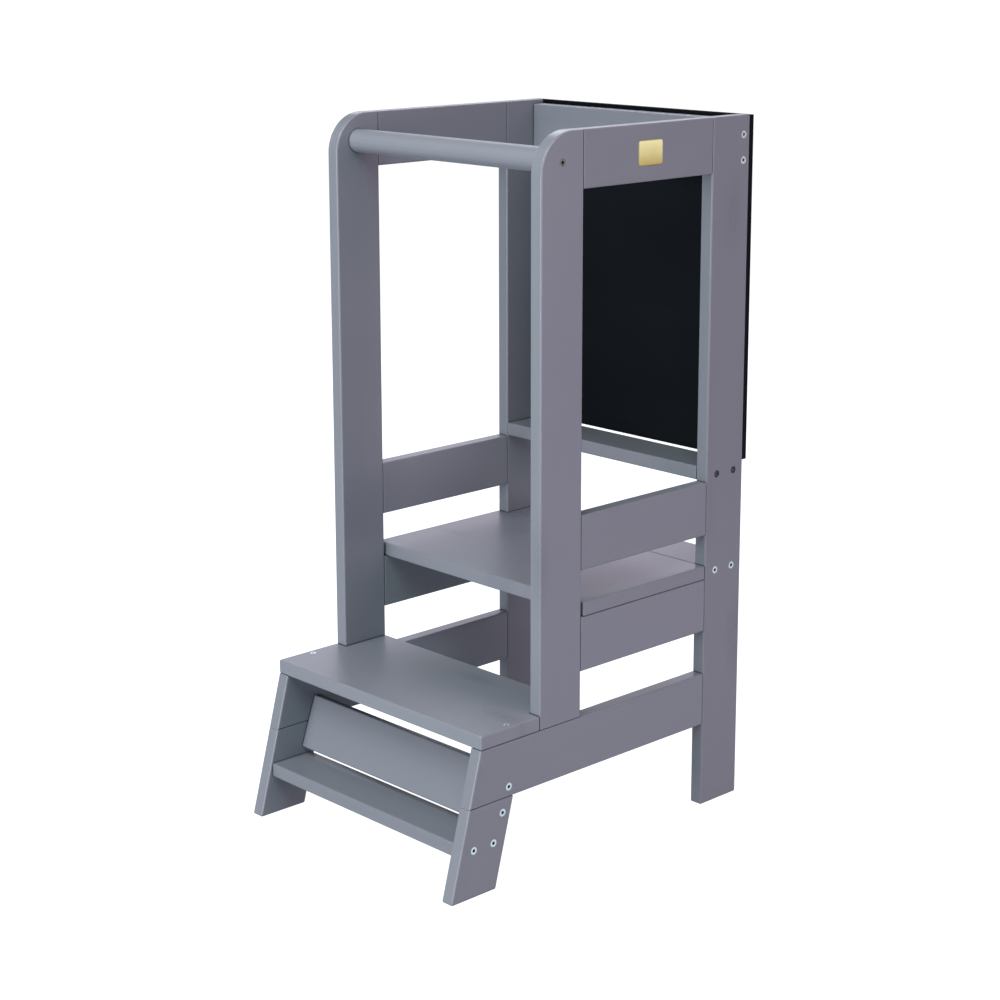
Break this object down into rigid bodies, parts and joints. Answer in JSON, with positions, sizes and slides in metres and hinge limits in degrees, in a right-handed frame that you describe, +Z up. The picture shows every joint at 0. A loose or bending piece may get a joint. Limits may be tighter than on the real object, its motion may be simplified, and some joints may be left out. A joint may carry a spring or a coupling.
{
  "type": "toddler kitchen helper stool",
  "caption": "Wooden standing tower for a small child, with steps in front, a railed platform, a round grab bar and a chalkboard back.",
  "frame": {"origin": "on the floor, in the middle of the footprint", "axes": "+Z up; -Y towards the steps, where the child climbs in; +Y towards the chalkboard; +X to the right seen from the steps"},
  "size_m": [0.3858, 0.5188, 0.9],
  "materials": {
    "painted_wood": "satin grey paint with a little of the grain showing through",
    "chalkboard": "matt black chalkboard coating",
    "zinc": "bright zinc plating",
    "beech": "bare wood",
    "brass": "satin, blank"
  },
  "bodies": {
    "root": {"left_front_post": "painted_wood", "left_back_post": "painted_wood", "left_top_rail": "painted_wood", "left_guard_rail": "painted_wood", "left_platform_rail": "painted_wood", "left_bottom_rail": "painted_wood", "left_front_leg": "painted_wood", "right_front_post": "painted_wood", "right_back_post": "painted_wood", "right_top_rail": "painted_wood", "right_guard_rail": "painted_wood", "right_platform_rail": "painted_wood", "right_bottom_rail": "painted_wood", "right_front_leg": "painted_wood", "handle_bar": "painted_wood", "upper_tread": "painted_wood", "kick_board": "painted_wood", "lower_step": "painted_wood", "platform_board": "painted_wood", "rear_cross_board": "painted_wood", "chalk_tray": "painted_wood", "back_top_rail": "painted_wood", "chalkboard": "chalkboard", "blank_plate": "brass", "handle_bolts": "zinc", "back_rail_bolts": "zinc", "tray_bolts": "zinc", "cross_board_bolts": "zinc", "kick_board_bolts": "zinc", "lower_step_bolts": "zinc", "tread_screws": "zinc", "chalkboard_screws": "zinc", "top_rail_dowels": "beech", "guard_rail_dowels": "beech", "platform_rail_dowels": "beech", "bottom_rail_dowels": "beech", "post_foot_dowels": "beech", "leg_dowels": "beech", "platform_dowels": "beech"}
  },
  "joints": []
}
